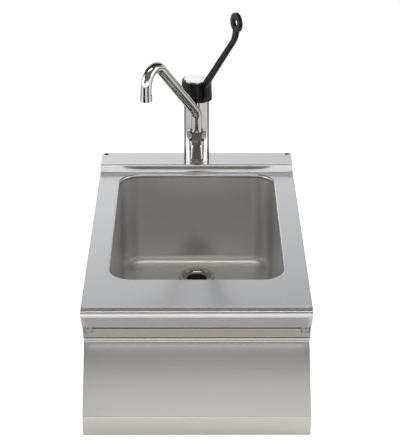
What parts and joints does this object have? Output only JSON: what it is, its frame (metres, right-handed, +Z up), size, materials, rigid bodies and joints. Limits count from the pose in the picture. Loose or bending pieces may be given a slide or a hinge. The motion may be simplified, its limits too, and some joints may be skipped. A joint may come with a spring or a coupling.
{
  "type": "counter-top sink table",
  "caption": "Satin steel sink table top of a cooking line: deep drawn basin, rear platform with a chrome single-lever mixer, rounded nose, recessed rail and slanted front panel.",
  "frame": {"origin": "centre of the 400 mm by 750 mm rectangle that the body covers, on the plane that it stands on", "axes": "+Z up, +Y to the rear where the tap stands, +X to the right for someone standing at the sink"},
  "size_m": [0.4, 0.75, 0.6013],
  "materials": {
    "satin_steel": "satin, brushed",
    "basin_steel": "satin, drawn",
    "plain_steel": "plain mill finish",
    "screw_steel": "bright",
    "drain_steel": "polished",
    "chrome": "mirror",
    "brass": "machined",
    "black_plastic": "satin",
    "white_plastic": "smooth",
    "seal_rubber": "matt"
  },
  "bodies": {
    "unit": {"worktop": "satin_steel", "front_rail": "satin_steel", "front_panel": "satin_steel", "left_side_panel": "satin_steel", "right_side_panel": "satin_steel", "back_panel": "satin_steel", "platform_end_left": "satin_steel", "platform_end_right": "satin_steel", "basin": "basin_steel", "nose_bracket_left": "plain_steel", "nose_bracket_right": "plain_steel", "worktop_stiffener_left": "plain_steel", "worktop_stiffener_right": "plain_steel", "base_corner_front_left": "plain_steel", "base_corner_front_right": "plain_steel", "base_corner_rear_left": "plain_steel", "base_corner_rear_right": "plain_steel", "tap_stiffening_plate": "plain_steel", "tap_clamp_washer": "plain_steel", "threaded_insert_left": "plain_steel", "threaded_insert_right": "plain_steel", "back_screws": "screw_steel", "nose_screws": "screw_steel", "drain_flange": "drain_steel", "tap_body": "chrome", "tap_base_ring": "chrome", "union_nut": "chrome", "tap_shank": "brass", "tap_clamp_nut": "brass", "cartridge_nut": "brass", "drain_lock_nut": "black_plastic", "cartridge_housing": "white_plastic", "glide_ring": "white_plastic", "tap_base_gasket": "seal_rubber", "drain_gasket": "seal_rubber", "drain_washer": "seal_rubber"},
    "spout": {"spout_tube": "chrome", "spout_o_rings": "seal_rubber", "aerator_shell": "chrome", "aerator_insert": "white_plastic"},
    "mixer_turn": {"cartridge_carrier": "white_plastic", "lever_pivot_pin": "plain_steel"},
    "lever": {"lever_handle": "black_plastic", "handle_cap": "chrome", "handle_grub_screw": "plain_steel", "cartridge_stem": "brass"}
  },
  "joints": [
    {"name": "spout_swivel", "type": "hinge", "parent": "unit", "child": "spout", "pos_m": [0, 0.296, 0.302], "axis": [0, 0, 1], "range_deg": [-60, 120]},
    {"name": "lever_turn", "type": "hinge", "parent": "unit", "child": "mixer_turn", "pos_m": [0, 0.342, 0.3726], "axis": [0, 0, 1], "range_deg": [-78, 22]},
    {"name": "lever_lift", "type": "hinge", "parent": "mixer_turn", "child": "lever", "pos_m": [0, 0.342, 0.3726], "axis": [-0.8829, -0.4695, 0], "range_deg": [0, 20]}
  ]
}
